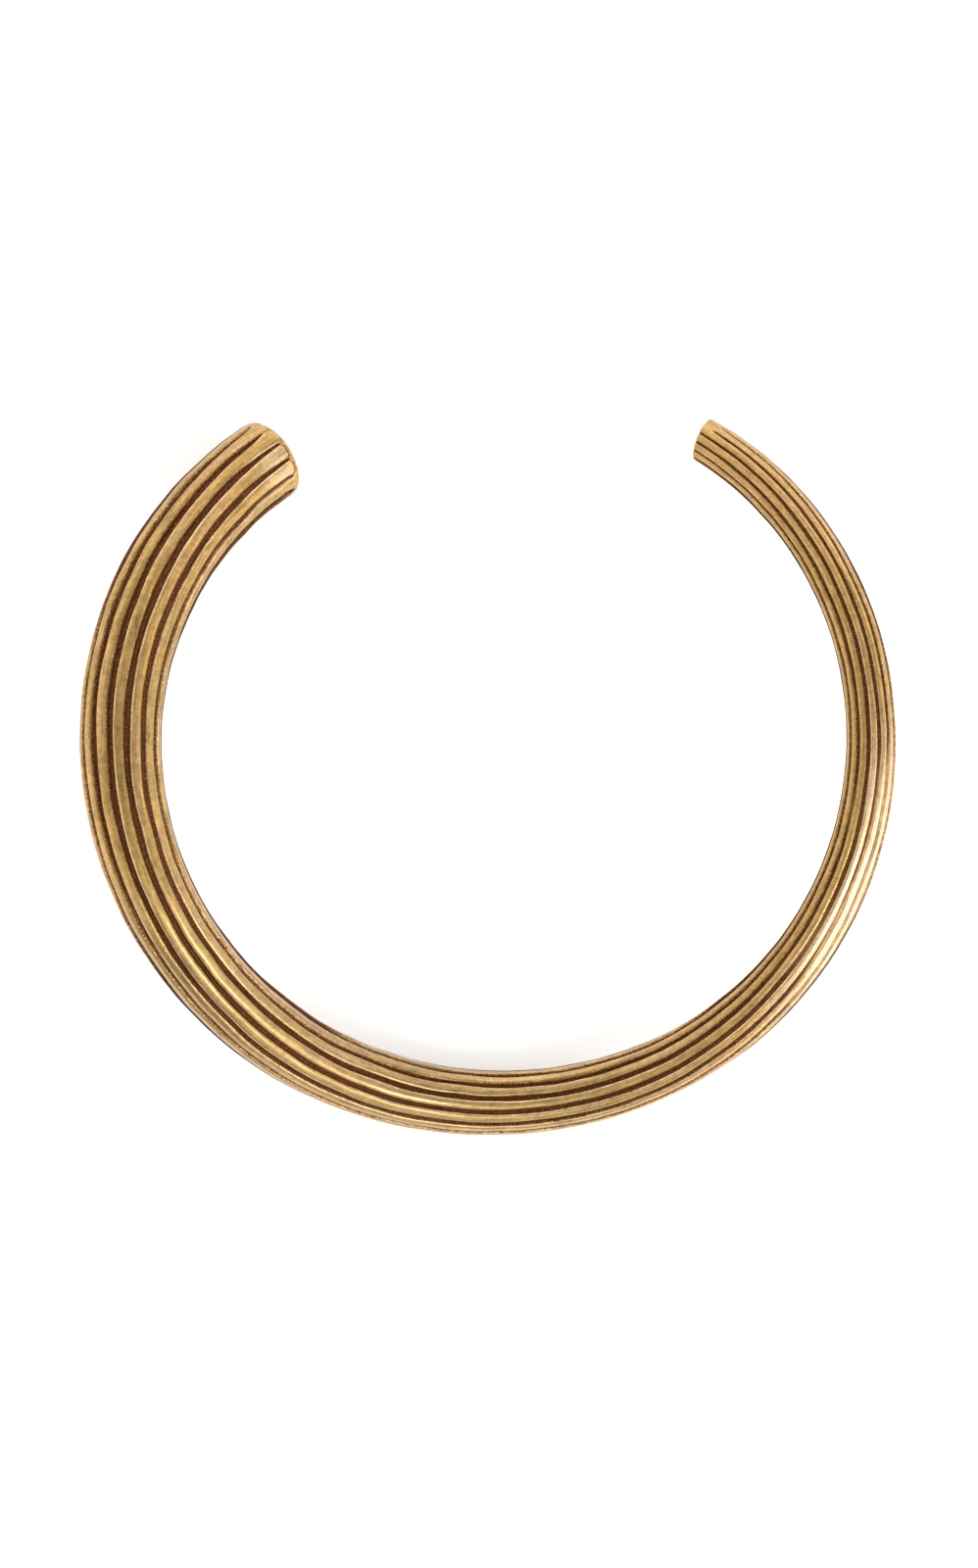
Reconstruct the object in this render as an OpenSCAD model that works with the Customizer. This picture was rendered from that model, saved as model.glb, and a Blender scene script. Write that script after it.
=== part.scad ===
// Ribbed open neck ring: one round bar of brass, thick at one free end and thin at the other,
// bent to an open ring that also arches, so that its sides stand higher than its front and its ends.
// Millimetres, +Z up, the gap between the ends towards +Y, the thick end at -X.

/* [Bar] */
// Real length of the bar, measured along its middle
bar_length = 353.6; // [346:0.2:362]
// Diameter of the bar at the thick end
thick_d = 15.2; // [12:0.1:17]
// Diameter of the bar at the thin end
thin_d = 8.1; // [6:0.1:11]

/* [Ribs] */
// Number of ribs round the bar
ribs = 14; // [8:1:18]
// Share of the pitch that a rib takes, and the groove has the rest
rib_share = 0.63; // [0.5:0.01:0.75]
// Width of the groove's floor as a share of the pitch
floor_share = 0.18; // [0.1:0.01:0.24]
// Fall from the crest of a rib to its edge, as a share of the bar's radius
rib_crown = 0.045; // [0:0.005:0.06]
// Depth of a groove below the crest, as a share of the bar's radius
groove_depth = 0.125; // [0.07:0.005:0.16]

/* [Ends] */
// Radius that rounds the rim of the thick end
rim_round = 0.8; // [0.3:0.05:1]
// Plain length at the thick end before the grooves start
rim_length = 1; // [1:0.1:1.6]
// Length over which a groove deepens from the plain rim
groove_start = 1.4; // [0.6:0.1:3]
// Radius that rounds the rim of the thin end
thin_round = 0.3; // [0.1:0.05:0.5]
// How far the cut at the thin end leans from square towards upright, in degrees
thin_cut = 12; // [0:1:20]
// How far the cut at the thin end turns from square, so that its inner side is shorter, in degrees
thin_turn = 9; // [0:1:15]

/* [Rest] */
// Lean about X and about Y that lays the ring as it rests by itself, in degrees
lean_x = -1.3; // [-6:0.1:6]
lean_y = -3.6; // [-12:0.1:0]

/* [Hidden] */

// The bar in rows at equal steps, thick end first.
// BEND is the radius of the bend seen from above, CLIMB is how steeply the bar rises in degrees,
// TAPER is 1 where the bar has its thick diameter and 0 where it has its thin one,
// and TWIST is how far the hand-cut ribs stray round the bar from a straight course, in degrees.
BEND = 0;
CLIMB = 1;
TAPER = 2;
TWIST = 3;
bar_rows = [
    [60.5, 31, 1.00, -1.2],
    [61.0, 24, 1.00, -0.7],
    [67.0, 5, 0.91, 0.9],
    [66.5, -23, 0.80, 2.5],
    [64.5, -27, 0.71, 4.1],
    [72.0, -3, 0.52, 3.4],
    [65.0, 20, 0.37, 3.7],
    [64.5, 16, 0.23, -1.3],
    [68.5, 3, 0.12, -1.2],
    [64.5, -20, 0.06, 0.0],
    [57.0, -28, 0.00, -1.8],
];
last_row = len(bar_rows) - 1;

// Where the walk along the bar starts: the way the thick end faces, and where its first rib lies
start_heading = -145;
start_roll = -4.3;

// Lengths of the small steps that follow the bend, and of the facets along the bar
walk_step = 1;
facet_length = 6.5;

// At this share of the length over which it starts, a groove already has this share of its depth
early_share = 0.33;
early_depth = 0.75;

// Keeps a look-up at the far end of the bar inside its last step
nudge = 0.0001;

walk_count = round(bar_length / walk_step);
walk_length = bar_length / walk_count;
row_length = bar_length / last_row;
half_pitch = 180 / ribs;

// A column of the table past its two ends goes on in a straight line
function row_value(col, i) =
    i < 0 ? 2 * bar_rows[0][col] - bar_rows[1][col] :
    i > last_row ? 2 * bar_rows[last_row][col] - bar_rows[last_row - 1][col] :
    bar_rows[i][col];

// Smooth curve through four values, at a share f between the middle two
function eased(a, b, c, d, f) =
    b + f / 2 * (c - a + f * (2 * a - 5 * b + 4 * c - d + f * (3 * (b - c) + d - a)));

// Value of a column at a distance along the bar
function along(col, s) =
    let (t = min(max(s / row_length, 0), last_row - nudge), i = floor(t))
    eased(row_value(col, i - 1), row_value(col, i), row_value(col, i + 1), row_value(col, i + 2), t - i);

function radius_at(s) = (thin_d + (thick_d - thin_d) * along(TAPER, s)) / 2;

// The walk keeps the place of the bar's middle, its heading, and how far its ribs have rolled.
// A straight course of the ribs still rolls, because a bend carries it round where the bar climbs.
PLACE = 0;
HEADING = 1;
ROLL = 2;
function next_stop(stop, s) =
    let (
        climb = along(CLIMB, s),
        turn = cos(climb) * walk_length / along(BEND, s) * 180 / PI,
        heading = stop[HEADING] + turn / 2,
        way = [cos(climb) * cos(heading), cos(climb) * sin(heading), sin(climb)]
    )
    [stop[PLACE] + walk_length * way, stop[HEADING] + turn, stop[ROLL] - sin(climb) * turn];

walk = [
    for (
        i = 0, stop = [[0, 0, 0], start_heading, start_roll];
        i <= walk_count;
        stop = next_stop(stop, (i + 0.5) * walk_length), i = i + 1
    ) stop
];

function stop_at(s) =
    let (u = min(s / walk_length, walk_count - nudge), i = floor(u), f = u - i)
    [for (part = [PLACE, HEADING, ROLL]) walk[i][part] * (1 - f) + walk[i + 1][part] * f];

// Outline of one rib and half a groove on each side: ACROSS is a share of half the pitch
// from the rib's middle, and DROP is a share of the bar's radius below the crest
ACROSS = 0;
DROP = 1;
rib_outline = [
    [floor_share - 1, groove_depth],
    [-rib_share, rib_crown],
    [0, 0],
    [rib_share, rib_crown],
    [1 - floor_share, groove_depth],
];

// The rings of points along the bar: distance, how deep the ribs are cut, how far the ring draws in,
// and how much of the slant of the thin end it takes
AT = 0;
CUT = 1;
INSET = 2;
SLANT = 3;
ribbed_from = rim_length + groove_start;
ribbed_to = bar_length - thin_round;
facet_count = round((ribbed_to - ribbed_from) / facet_length);
facet_step = (ribbed_to - ribbed_from) / facet_count;
stations = concat(
    [
        [0, 0, rim_round, 0],
        [rim_round * (1 - cos(45)), 0, rim_round * (1 - sin(45)), 0],
        [rim_round, 0, 0, 0],
        [rim_length, 0, 0, 0],
        [rim_length + early_share * groove_start, early_depth, 0, 0],
    ],
    [for (i = [0 : facet_count]) [ribbed_from + i * facet_step, 1, 0, i == facet_count ? 1 : 0]],
    [[bar_length, 1, thin_round, 1]]
);

function ring_points(station) =
    let (
        s = station[AT],
        stop = stop_at(s),
        climb = along(CLIMB, s),
        heading = stop[HEADING],
        ahead = [cos(climb) * cos(heading), cos(climb) * sin(heading), sin(climb)],
        side = [sin(heading), -cos(heading), 0],
        up = [-sin(climb) * cos(heading), -sin(climb) * sin(heading), cos(climb)],
        r = radius_at(s)
    )
    [for (k = [0 : ribs - 1], p = rib_outline)
        let (
            angle = stop[ROLL] + along(TWIST, s) + (2 * k + p[ACROSS]) * half_pitch,
            reach = r - station[INSET] - station[CUT] * p[DROP] * r,
            lag = station[SLANT] * reach * (tan(thin_turn) * sin(angle) - tan(thin_cut) * cos(angle))
        )
        stop[PLACE] + reach * (sin(angle) * side + cos(angle) * up) + lag * ahead
    ];

// The ring as it rests: leaned, its box centred on the origin and its lowest point on the floor
lean = [
    [cos(lean_y), 0, sin(lean_y)],
    [0, 1, 0],
    [-sin(lean_y), 0, cos(lean_y)],
] * [
    [1, 0, 0],
    [0, cos(lean_x), -sin(lean_x)],
    [0, sin(lean_x), cos(lean_x)],
];
leaned = [for (station = stations, p = ring_points(station)) lean * p];
low = [for (axis = [0 : 2]) min([for (p = leaned) p[axis]])];
high = [for (axis = [0 : 2]) max([for (p = leaned) p[axis]])];
seat = [(low[0] + high[0]) / 2, (low[1] + high[1]) / 2, low[2]];
bar_points = [for (p = leaned) p - seat];

per_ring = ribs * len(rib_outline);
ring_count = len(stations);
bar_faces = concat(
    [[for (j = [0 : per_ring - 1]) j]],
    [for (i = [0 : ring_count - 2], j = [0 : per_ring - 1])
        let (a = i * per_ring, n = (j + 1) % per_ring)
        [a + j, a + per_ring + j, a + per_ring + n, a + n]],
    [[for (j = [per_ring - 1 : -1 : 0]) (ring_count - 1) * per_ring + j]]
);

module collar() {
    color("darkgoldenrod")
    polyhedron(points = bar_points, faces = bar_faces, convexity = 10);
}

collar();
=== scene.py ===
"""Ribbed open neck ring of aged brass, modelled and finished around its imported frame.

Everything is in metres, +Z up, with the gap between the ring's ends towards +Y.
The bar is modelled straight along +X, thick end at the origin, and is then bent, tapered and laid down.
"""
import math
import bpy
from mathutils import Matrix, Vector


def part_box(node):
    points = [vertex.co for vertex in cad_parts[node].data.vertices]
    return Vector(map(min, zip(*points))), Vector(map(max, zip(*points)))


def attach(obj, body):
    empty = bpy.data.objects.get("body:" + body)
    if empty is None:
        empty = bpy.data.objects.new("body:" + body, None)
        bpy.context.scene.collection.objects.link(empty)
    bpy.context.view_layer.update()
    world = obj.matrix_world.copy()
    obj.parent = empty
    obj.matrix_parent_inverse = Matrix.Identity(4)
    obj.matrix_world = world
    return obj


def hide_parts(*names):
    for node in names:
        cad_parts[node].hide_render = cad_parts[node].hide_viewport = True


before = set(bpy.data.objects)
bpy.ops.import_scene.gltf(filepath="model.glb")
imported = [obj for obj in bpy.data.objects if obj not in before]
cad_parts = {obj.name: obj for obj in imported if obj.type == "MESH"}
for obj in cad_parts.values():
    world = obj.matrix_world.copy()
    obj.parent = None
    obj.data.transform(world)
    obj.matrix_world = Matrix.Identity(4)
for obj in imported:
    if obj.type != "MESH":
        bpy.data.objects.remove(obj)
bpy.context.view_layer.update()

from types import SimpleNamespace

import bmesh
import bpy
import numpy as np
from bpy.props import FloatProperty, FloatVectorProperty, IntProperty, PointerProperty
from mathutils import Euler, Vector

bl_info = {
    "name": "Ribbed Neck Ring",
    "version": (1, 0, 0),
    "blender": (4, 5, 0),
    "location": "View3D > Sidebar > Neck Ring",
    "description": "Models a ribbed open neck ring of aged brass and the stage that it lies on",
    "category": "Object",
}

NODE = "collar"
BODY = "root"
MM = 0.001
BOX_TOLERANCE = 1 * MM

# The bar in rows at equal steps, thick end first, as in the frame.
# BEND is the radius of the bend seen from above, CLIMB is how steeply the bar rises in degrees,
# TAPER is 1 where the bar has its thick diameter and 0 where it has its thin one,
# and TWIST is how far the hand-cut ribs stray round the bar from a straight course, in degrees.
BEND, CLIMB, TAPER, TWIST = 0, 1, 2, 3
BAR_ROWS = np.array([
    (60.5 * MM, 31, 1.00, -1.2),
    (61.0 * MM, 24, 1.00, -0.7),
    (67.0 * MM, 5, 0.91, 0.9),
    (66.5 * MM, -23, 0.80, 2.5),
    (64.5 * MM, -27, 0.71, 4.1),
    (72.0 * MM, -3, 0.52, 3.4),
    (65.0 * MM, 20, 0.37, 3.7),
    (64.5 * MM, 16, 0.23, -1.3),
    (68.5 * MM, 3, 0.12, -1.2),
    (64.5 * MM, -20, 0.06, 0.0),
    (57.0 * MM, -28, 0.00, -1.8),
])

# Outline from the crest of a rib to the middle of the groove beside it.
# ACROSS is a share of half the pitch, and DROP is a share of the bar's radius below the crest.
ACROSS, DROP = 0, 1
RIB_OUTLINE = np.array([
    (0.00, 0.0000),
    (0.22, 0.0018),
    (0.40, 0.0105),
    (0.52, 0.0230),
    (0.59, 0.0350),
    (0.635, 0.0480),
    (0.675, 0.0680),
    (0.72, 0.0920),
    (0.78, 0.1140),
    (0.85, 0.1250),
    (1.00, 0.1160),
])
STEPS = len(RIB_OUTLINE) - 1
DEEPEST = max(RIB_OUTLINE[:, DROP])
# Where, in the same share of half the pitch, a rib's crown ends and the wall of the groove begins
RIB_EDGE = 0.59

# Where the rings of points lie close together, as distances from the thick end and from the thin one
TIP_RINGS = [x * MM for x in (0.90, 1.00, 1.10, 1.20, 1.30, 1.40, 1.50, 1.60, 1.70, 1.80, 1.90, 2.00, 2.10,
                              2.25, 2.50, 2.80, 3.20, 3.80, 4.50)]
TIP_END = 5.4 * MM
STOP_RINGS = [x * MM for x in (0.60, 0.90, 1.20, 1.50, 1.80, 2.10, 2.40, 2.70, 3.00, 3.40, 3.80, 4.40)]
STOP_END = 5.2 * MM
# The bar between them is cut into this many times this many lengths
FAR_CUTS = (88, 3)
RIM_STEPS = 5
# Radius of each loop of an end face as a share of the last, and how far the face swells at it
FACE_LOOPS = ((0.86, 0.05 * MM), (0.70, 0.06 * MM), (0.55, 0.04 * MM), (0.35, 0.02 * MM))
# The end of the bar leans with the cut at its thin end over this length
SLANT_LENGTH = 6.5 * MM
# Slack when lengths of the bar are picked by their place, when a ring is, and for points on a cutting plane
LENGTH_SLACK, RING_SLACK, PLANE_SLACK = 0.1 * MM, 0.01 * MM, 0.001 * MM
# Size of the slow and of the quick part of the surface's wander, and how many times weaker the quick part is
WANDER_SIZE, WAVER_SIZE, WAVER_WEAKER = 9 * MM, 3 * MM, 3
# Edges sharper than this many degrees stay sharp
SHARP_ANGLE = 60

# Where a groove starts at the thick end, and the length over which it opens: every groove, and the odd ones
GROOVE_START = (0.95 * MM, 1.2 * MM)
ODD_STARTS = {
    0: (1.05 * MM, 0.9 * MM),
    1: (1.1 * MM, 4.4 * MM),
    2: (1.0 * MM, 3.0 * MM),
    6: (1.1 * MM, 2.4 * MM),
    12: (1.0 * MM, 1.6 * MM),
}
# Where a groove has faded out before the thin end, and the length over which it fades
ODD_STOPS = {1: (1.0 * MM, 4.6 * MM), 2: (2.2 * MM, 3.2 * MM), 7: (0.8 * MM, 2.6 * MM)}
# The grooves widen and deepen from the thick end up to here, with this power of the distance
WIDE_FROM, WIDE_POWER = 14 * MM, 0.9
# Share of its width that a groove has before it opens, and share of its depth right at the thick end
LEAST_WIDTH, LEAST_DEPTH = 0.25, 0.55
# A groove has its full depth, and all of its patina, when it is this far open
DEEP_WHEN_OPEN, FULL_WHEN_OPEN = 0.6, 0.5
# Share of a groove's width and of its depth right at the thin end, and how far from there it has all of it
THIN_END_WIDTH = (0.66, 30 * MM)
THIN_END_DEPTH = (0.65, 5 * MM)
# The grooves are narrower by this share on the left, between the middle two of these places along the bar
NARROWER = 0.12
NARROW_PLACES = (80 * MM, 105 * MM, 165 * MM, 190 * MM)
# The ribs have their full crown from here on
CROWN_FROM = 4 * MM

# Slow waves of hand work along each groove: their strength, their length, and the number of their first draw.
# A sway is a share of half the pitch. The others are shares of the groove's own width, depth and patina.
SWAYS = ((0.035, 34 * MM, 0), (0.014, 12 * MM, 20))
WIDTH_WAVES = ((0.08, 19 * MM, 40), (0.03, 12 * MM, 60))
DEPTH_WAVES = ((0.06, 22 * MM, 80),)
PATINA_WAVES = ((0.16, 26 * MM, 100),)
# A wave is the sum of this many sines, with lengths between these shares of its own, divided by the last
SINES, SINE_SPREAD, SINE_SUM = 4, (0.6, 1.6), 2.4

# Ribs whose rounded tip is outlined by a scribed line
OUTLINED_TIPS = (0, 13, 5, 8)
# Where the crest of such a tip ends, how long its rounding is, and half its width in half pitches
TIP_PLACE, TIP_LENGTH, TIP_HALF = 1.0 * MM, 1.1 * MM, 0.66
# How far the cut of the line spreads, and its depth as a share of a groove's
LINE_SPREAD, LINE_DEPTH = 0.16 * MM, 0.07
# How far from the line's middle its colour is full and ends, and how softly it ends at the tip's sides
LINE_COLOUR, LINE_SIDE = (0.07 * MM, 0.22 * MM), 0.02

# Seen from above, the ribs' edges that face this way get a painted highlight, and on those that face away the
# brown film reaches higher as painted shade
LIT_WAY = (-0.8, 0.6)
# The polished stretch of the outer side, worn free of patina and painted pale as a highlight: its middle and
# half its length as shares of the bar's length, and the share of that half at which it begins to fade
POLISHED_LIT_STRETCH = (0.735, 0.105, 0.35)
# Its side of the bar, in degrees from the top outwards, and how far from there it is full and ends
POLISHED_LIT_SIDE, POLISHED_LIT_REACH = 32, (22, 50)
# How much patina is gone on the polished side, and all round the bar in that stretch
POLISHED_OFF, STRETCH_OFF = 0.75, 0.30
# Across a groove, where its patina begins to hold out against the polish, and where it does so fully
HELD_FLOOR = (0.70, 0.92)
# The stretch along the front, in the same terms as the polished one: glossier ribs, and darker grooves
FRONT = (0.44, 0.24, 0.5)
# The bar's sides are duller than its top, and its underside is less so by a half, in degrees from the top
DULL_SIDES, DULL_BELOW, LESS_BELOW = (71, 83), (100, 125), 0.5
# Near the thick end, the dull sides begin over this stretch, and the polished and painted highlights of its
# ribs and grooves over this
DULL_FROM, BRIGHT_FROM = (0.5 * MM, 2 * MM), (0.85 * MM, 1.5 * MM)
# Grooves whose floor near the thick end is rubbed free of patina and painted bright as a highlight, on which
# side, and how far along
RUBBED_AND_LIT = {0: (0.38, 12 * MM), 12: (-0.38, 18 * MM), 5: (0.30, 8 * MM)}
# How wide the rubbed part is, as a share of half the pitch, and how much of its patina is gone
RUBBED_LIT_WIDTH, RUBBED_OFF = 0.18, 0.95
# Ribs with a highlight painted in the pale polished tone near their tips, how strongly, where along the bar,
# and how far that spreads
BRIGHT_TIPS, TIP_HIGHLIGHT = (0, 13), 0.8
BRIGHT_PLACE, BRIGHT_SPREAD = 4 * MM, 4 * MM
# Across a rib from its crest, where that painted highlight begins to fade and where it ends
BRIGHT_ACROSS = (0.3, 0.6)
# The thin end's face is free of patina: distance from the end at which there is none, and all of it
CLEAN_FACE = (-0.02 * MM, 0.25 * MM)
# How bright the metal is at a share of the bar's length
TONE_ALONG = np.array([
    (0.00, 0.95),
    (0.16, 0.94),
    (0.25, 1.00),
    (0.31, 0.82),
    (0.46, 0.82),
    (0.51, 1.04),
    (0.60, 1.04),
    (0.66, 1.00),
])


class BarSizes(bpy.types.PropertyGroup):
    """Sizes of the bar, before and after it is bent"""

    bar_length: FloatProperty(name="Bar length", description="Real length of the bar along its middle",
                              default=353.6 * MM, unit="LENGTH")
    thick_end: FloatProperty(name="Thick end", description="Diameter of the bar at the thick end",
                             default=15.2 * MM, unit="LENGTH")
    thin_end: FloatProperty(name="Thin end", description="Diameter of the bar at the thin end",
                            default=8.1 * MM, unit="LENGTH")
    ribs: IntProperty(name="Ribs", description="Number of ribs round the bar", default=14, min=8, max=18)
    rim_round: FloatProperty(name="Rim rounding", description="Radius that rounds the rim of the thick end",
                             default=0.8 * MM, unit="LENGTH")
    thin_round: FloatProperty(name="Thin rounding", description="Radius that rounds the rim of the thin end",
                              default=0.3 * MM, unit="LENGTH")
    thin_cut: FloatProperty(name="Cut leans", description="How far the thin end's cut leans towards upright",
                            default=math.radians(12), subtype="ANGLE")
    thin_turn: FloatProperty(name="Cut turns", description="How far the thin end's cut turns inwards",
                             default=math.radians(9), subtype="ANGLE")
    start_heading: FloatProperty(name="Start heading", description="The way the bar runs from its thick end",
                                 default=math.radians(-145), subtype="ANGLE")
    start_roll: FloatProperty(name="Start roll", description="Where the first rib lies at the thick end",
                              default=math.radians(-4.3), subtype="ANGLE")
    start_place: FloatVectorProperty(name="Start", description="Where the middle of the thick end's face is",
                                     default=(-37.94 * MM, 58.07 * MM, 6.46 * MM), subtype="TRANSLATION",
                                     size=3)
    lean_x: FloatProperty(name="Lean about X", description="Lean about X that lays the ring as it rests",
                          default=math.radians(-1.3), subtype="ANGLE")
    lean_y: FloatProperty(name="Lean about Y", description="Lean about Y that lays the ring as it rests",
                          default=math.radians(-3.6), subtype="ANGLE")
    wander: FloatProperty(name="Wander", description="How far the hand-worked surface wanders from true",
                          default=0.3 * MM, unit="LENGTH")


class BrassFinish(bpy.types.PropertyGroup):
    """Colours and gloss of the aged brass"""

    gold: FloatVectorProperty(name="Gold", description="Main colour of the worn metal",
                              default=(0.505, 0.308, 0.092), subtype="COLOR", size=3, min=0, max=1)
    olive: FloatVectorProperty(name="Olive", description="Greener tone in patches of the metal",
                               default=(0.465, 0.294, 0.084), subtype="COLOR", size=3, min=0, max=1)
    peach: FloatVectorProperty(name="Peach", description="Rosier tone in patches of the metal",
                               default=(0.560, 0.338, 0.138), subtype="COLOR", size=3, min=0, max=1)
    smudge: FloatVectorProperty(name="Smudges", description="Brown olive smudges on the ribs",
                                default=(0.25, 0.145, 0.048), subtype="COLOR", size=3, min=0, max=1)
    # Pale tone along the ribs' edges: worn metal, and a painted highlight on the edges that face the light
    edge_wear_and_highlight: FloatVectorProperty(name="Worn edges", description="Pale tone along the edges of the ribs",
                               default=(0.86, 0.59, 0.34), subtype="COLOR", size=3, min=0, max=1)
    # Pale tone of polished metal, also painted on as highlights
    polish_and_highlight: FloatVectorProperty(name="Polish", description="Pale tone where the metal is polished by wear",
                                default=(0.79, 0.59, 0.39), subtype="COLOR", size=3, min=0, max=1)
    film: FloatVectorProperty(name="Film", description="Thin brown patina on the walls of the grooves",
                              default=(0.30, 0.153, 0.052), subtype="COLOR", size=3, min=0, max=1)
    # Near-black patina in the grooves' corners, painted darker as the shade that gathers there
    corner: FloatVectorProperty(name="Corners", description="Dark patina in the corners of the grooves",
                                default=(0.085, 0.025, 0.0045), subtype="COLOR", size=3, min=0, max=1)
    ground: FloatVectorProperty(name="Ground", description="Brown patina on the floor of the grooves",
                                default=(0.118, 0.040, 0.009), subtype="COLOR", size=3, min=0, max=1)
    # Lighter specks of the patina, partly painted glints
    speck: FloatVectorProperty(name="Specks", description="Lighter specks in the patina",
                               default=(0.44, 0.235, 0.100), subtype="COLOR", size=3, min=0, max=1)
    metal_roughness: FloatProperty(name="Metal roughness", description="Roughness of the worn metal",
                                   default=0.32, min=0, max=1)
    patina_roughness: FloatProperty(name="Patina roughness", description="Roughness of the patina",
                                    default=0.62, min=0, max=1)
    wax: FloatProperty(name="Wax", description="Weight of the thin coat of wax over the metal",
                       default=0.20, min=0, max=1)
    front_wax: FloatProperty(name="Wax at the front", description="Weight of the coat along the front",
                             default=0.70, min=0, max=1)
    wax_roughness: FloatProperty(name="Wax roughness", description="Roughness of the coat of wax",
                                 default=0.15, min=0, max=1)


class StageLook(bpy.types.PropertyGroup):
    """Floor, light and camera"""

    floor_colour: FloatVectorProperty(name="Floor", description="Colour of the floor",
                                      default=(0.93, 0.93, 0.93), subtype="COLOR", size=3, min=0, max=1)
    floor_size: FloatProperty(name="Floor size", description="Side of the floor", default=6.0, unit="LENGTH")
    glow: FloatProperty(name="Floor glow", description="Brightness that the floor, a light table, adds",
                        default=0.36)
    overhead: FloatProperty(name="Overhead light", description="Brightness of the room overhead",
                            default=0.70)
    horizon: FloatProperty(name="Horizon light", description="Brightness of the room at the horizon",
                           default=1.50)
    key: FloatProperty(name="Key light", description="Power of the soft box at the front right",
                       default=0.47, unit="POWER")
    distance: FloatProperty(name="Camera distance", description="From the camera to the middle of the ring",
                            default=1.2, unit="LENGTH")
    lens: FloatProperty(name="Lens", description="Focal length in millimetres, for a frame 36 mm high",
                        default=151.0)


def eased(low, high, value):
    """0 below low, 1 above high, and eased between them."""
    t = np.clip((value - low) / (high - low), 0, 1)
    return t * t * (3 - 2 * t)


# The path of the bar

def row_value(column, i):
    """A column of the bar's table. Past its two ends it goes on in a straight line."""
    rows = BAR_ROWS[:, column]
    if i < 0:
        return 2 * rows[0] - rows[1]
    if i >= len(rows):
        return 2 * rows[-1] - rows[-2]
    return rows[i]


def along(column, share):
    """Value of a column at a share of the bar's length, on a smooth curve through the rows."""
    place = share * (len(BAR_ROWS) - 1)
    i = min(int(place), len(BAR_ROWS) - 2)
    f = place - i
    a, b, c, d = (row_value(column, i + k) for k in (-1, 0, 1, 2))
    return b + f / 2 * (c - a + f * (2 * a - 5 * b + 4 * c - d + f * (3 * (b - c) + d - a)))


def walk(sizes):
    """Stops about a millimetre apart along the middle of the bar: place, roll and radius scale."""
    count = round(sizes.bar_length / MM)
    step = sizes.bar_length / count
    place, heading, roll = Vector(), sizes.start_heading, sizes.start_roll
    stops = []
    for i in range(count + 1):
        width = sizes.thin_end + (sizes.thick_end - sizes.thin_end) * along(TAPER, i / count)
        twist = math.radians(along(TWIST, i / count))
        stops.append((place.copy(), roll + twist, width / sizes.thick_end))
        middle = min((i + 0.5) / count, 1)
        climb = math.radians(along(CLIMB, middle))
        turn = math.cos(climb) * step / along(BEND, middle)
        way = heading + turn / 2
        ahead = (math.cos(climb) * math.cos(way), math.cos(climb) * math.sin(way), math.sin(climb))
        place += step * Vector(ahead)
        heading += turn
        roll -= math.sin(climb) * turn
    return stops


def make_path(sizes):
    """The curve that the bar is bent along. Its tilt rolls the ribs, and its radius tapers the bar."""
    stops = walk(sizes)
    curve = bpy.data.curves.new("bar_path", "CURVE")
    curve.dimensions = "3D"
    curve.twist_mode = "Z_UP"
    curve.use_radius = True
    spline = curve.splines.new("POLY")
    spline.points.add(len(stops) - 1)
    for point, (place, roll, scale) in zip(spline.points, stops):
        point.co = (*place, 1)
        point.tilt = roll
        point.radius = scale
    path = bpy.data.objects.new("bar_path", curve)
    bpy.context.scene.collection.objects.link(path)
    return path


# The straight bar. A turn of 0 is the crest of rib 0, and turns grow towards rib 1.

def pick_edges(bar, chosen):
    """Selects, in edit mode, the edges for which chosen(lower x, higher x) is true."""
    bpy.ops.mesh.select_all(action="DESELECT")
    mesh = bmesh.from_edit_mesh(bar.data)
    for edge in mesh.edges:
        if chosen(*sorted(vertex.co.x for vertex in edge.verts)):
            edge.select_set(True)
    bmesh.update_edit_mesh(bar.data)


def pick_vertices(bar, chosen):
    """Selects, in edit mode, the vertices whose numbers are given."""
    bpy.ops.mesh.select_all(action="DESELECT")
    mesh = bmesh.from_edit_mesh(bar.data)
    mesh.verts.ensure_lookup_table()
    for number in chosen:
        mesh.verts[number].select_set(True)
    bmesh.update_edit_mesh(bar.data)


def cut_ring(x):
    bpy.ops.mesh.select_all(action="SELECT")
    bpy.ops.mesh.bisect(plane_co=(x, 0, 0), plane_no=(1, 0, 0), threshold=PLANE_SLACK)


def set_columns(bar, sizes):
    """Turns the evenly spaced columns of the cylinder to where the outline of a rib needs them."""
    half_pitch = math.pi / sizes.ribs
    spacing = half_pitch / STEPS
    turn = mesh_places(bar)[1]
    column = np.round(turn / spacing).astype(int) % (2 * STEPS)
    bpy.ops.object.mode_set(mode="EDIT")
    bpy.ops.mesh.select_mode(type="VERT")
    for step in range(1, STEPS):
        shift = RIB_OUTLINE[step, ACROSS] * half_pitch - step * spacing
        for side in (-1, 1):
            pick_vertices(bar, np.flatnonzero(column == side * step % (2 * STEPS)))
            bpy.ops.transform.rotate(value=-side * shift, orient_axis="X", center_override=(0, 0, 0))


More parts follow.
